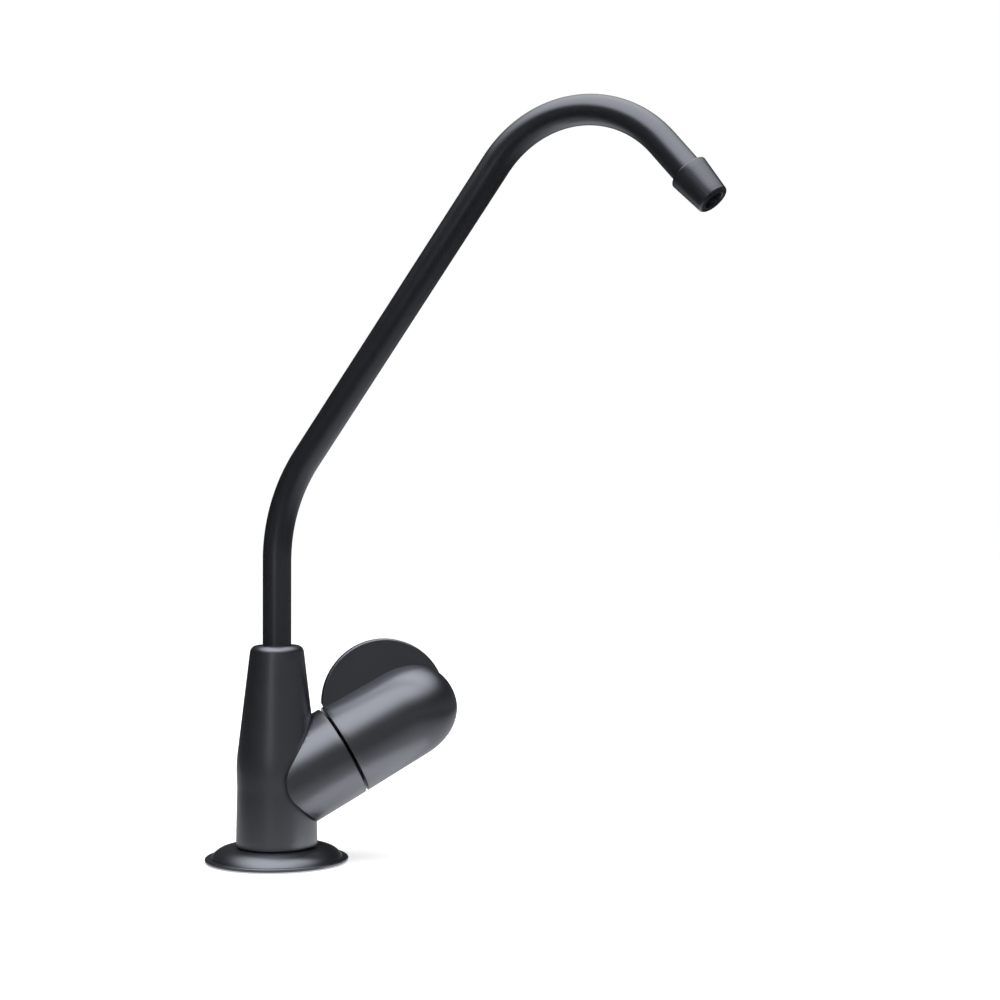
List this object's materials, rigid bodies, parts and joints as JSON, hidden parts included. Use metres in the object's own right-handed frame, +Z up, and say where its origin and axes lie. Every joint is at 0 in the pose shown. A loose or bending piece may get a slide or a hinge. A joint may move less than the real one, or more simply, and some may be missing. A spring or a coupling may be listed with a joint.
{
  "type": "drinking water filter tap",
  "caption": "Deck-mounted drinking water tap with a bent swivel tube spout, a conical nozzle and a quarter-turn handle with a disc paddle on an angled branch.",
  "frame": {"origin": "on the body's axis, in the plane of the gasket's underside, where the tap sits on the deck", "axes": "+Z up along the body's axis, +X from the body towards the nozzle with the spout at rest"},
  "size_m": [0.1925, 0.0741, 0.3334],
  "materials": {
    "satin_black": "satin black powder coat",
    "black_rubber": "matt",
    "brass": "machined",
    "steel": "zinc plated",
    "ceramic": "lapped",
    "nylon": "natural",
    "black_plastic": "moulded",
    "white_plastic": "moulded"
  },
  "bodies": {
    "tap_body": {"body": "satin_black", "escutcheon_plate": "satin_black", "base_gasket": "black_rubber", "foot_washer": "black_rubber", "spout_slip_washer": "nylon", "spout_circlip": "steel", "spout_guide_bush": "black_plastic", "cartridge_housing": "brass", "housing_oring": "black_rubber", "spindle_thrust_washer": "nylon", "ceramic_disc_fixed": "ceramic", "cartridge_seat_seal": "black_rubber", "threaded_shank": "brass", "inlet_connector": "white_plastic", "inlet_oring": "black_rubber", "inlet_grip_ring": "steel"},
    "spout": {"spout_tube": "satin_black", "nozzle_tip": "satin_black", "spout_stem": "brass", "spout_oring_lower": "black_rubber", "spout_oring_upper": "black_rubber"},
    "handle": {"handle": "satin_black", "handle_grub_screw": "steel", "cartridge_spindle": "brass", "ceramic_disc_moving": "ceramic", "spindle_oring_inner": "black_rubber", "spindle_oring_outer": "black_rubber", "spindle_circlip": "steel"},
    "clamp_washers": {"deck_soft_washer": "black_rubber", "deck_metal_washer": "steel", "lock_washer": "steel"},
    "fixing_nut": {"fixing_nut": "brass"},
    "collet": {"inlet_collet": "white_plastic"}
  },
  "joints": [
    {"name": "spout_swivel", "type": "hinge", "parent": "tap_body", "child": "spout", "pos_m": [0, 0, 0], "axis": [0, 0, 1], "continuous": true},
    {"name": "handle_turn", "type": "hinge", "parent": "tap_body", "child": "handle", "pos_m": [0, 0, 0.0251], "axis": [0.6397, 0.5965, 0.4848], "range_deg": [0, 90]},
    {"name": "washer_slide", "type": "slide", "parent": "tap_body", "child": "clamp_washers", "axis": [0, 0, 1], "range_m": [-0.015, 0.006]},
    {"name": "nut_turn", "type": "hinge", "parent": "clamp_washers", "child": "fixing_nut", "pos_m": [0, 0, 0], "axis": [0, 0, 1], "range_deg": [-5102.5, 2041]},
    {"name": "collet_push", "type": "slide", "parent": "tap_body", "child": "collet", "axis": [0, 0, 1], "range_m": [0, 0.0015]}
  ],
  "couplings": [
    {"joint": "nut_turn", "follows": "washer_slide", "rad_per_m": 5936.9}
  ]
}
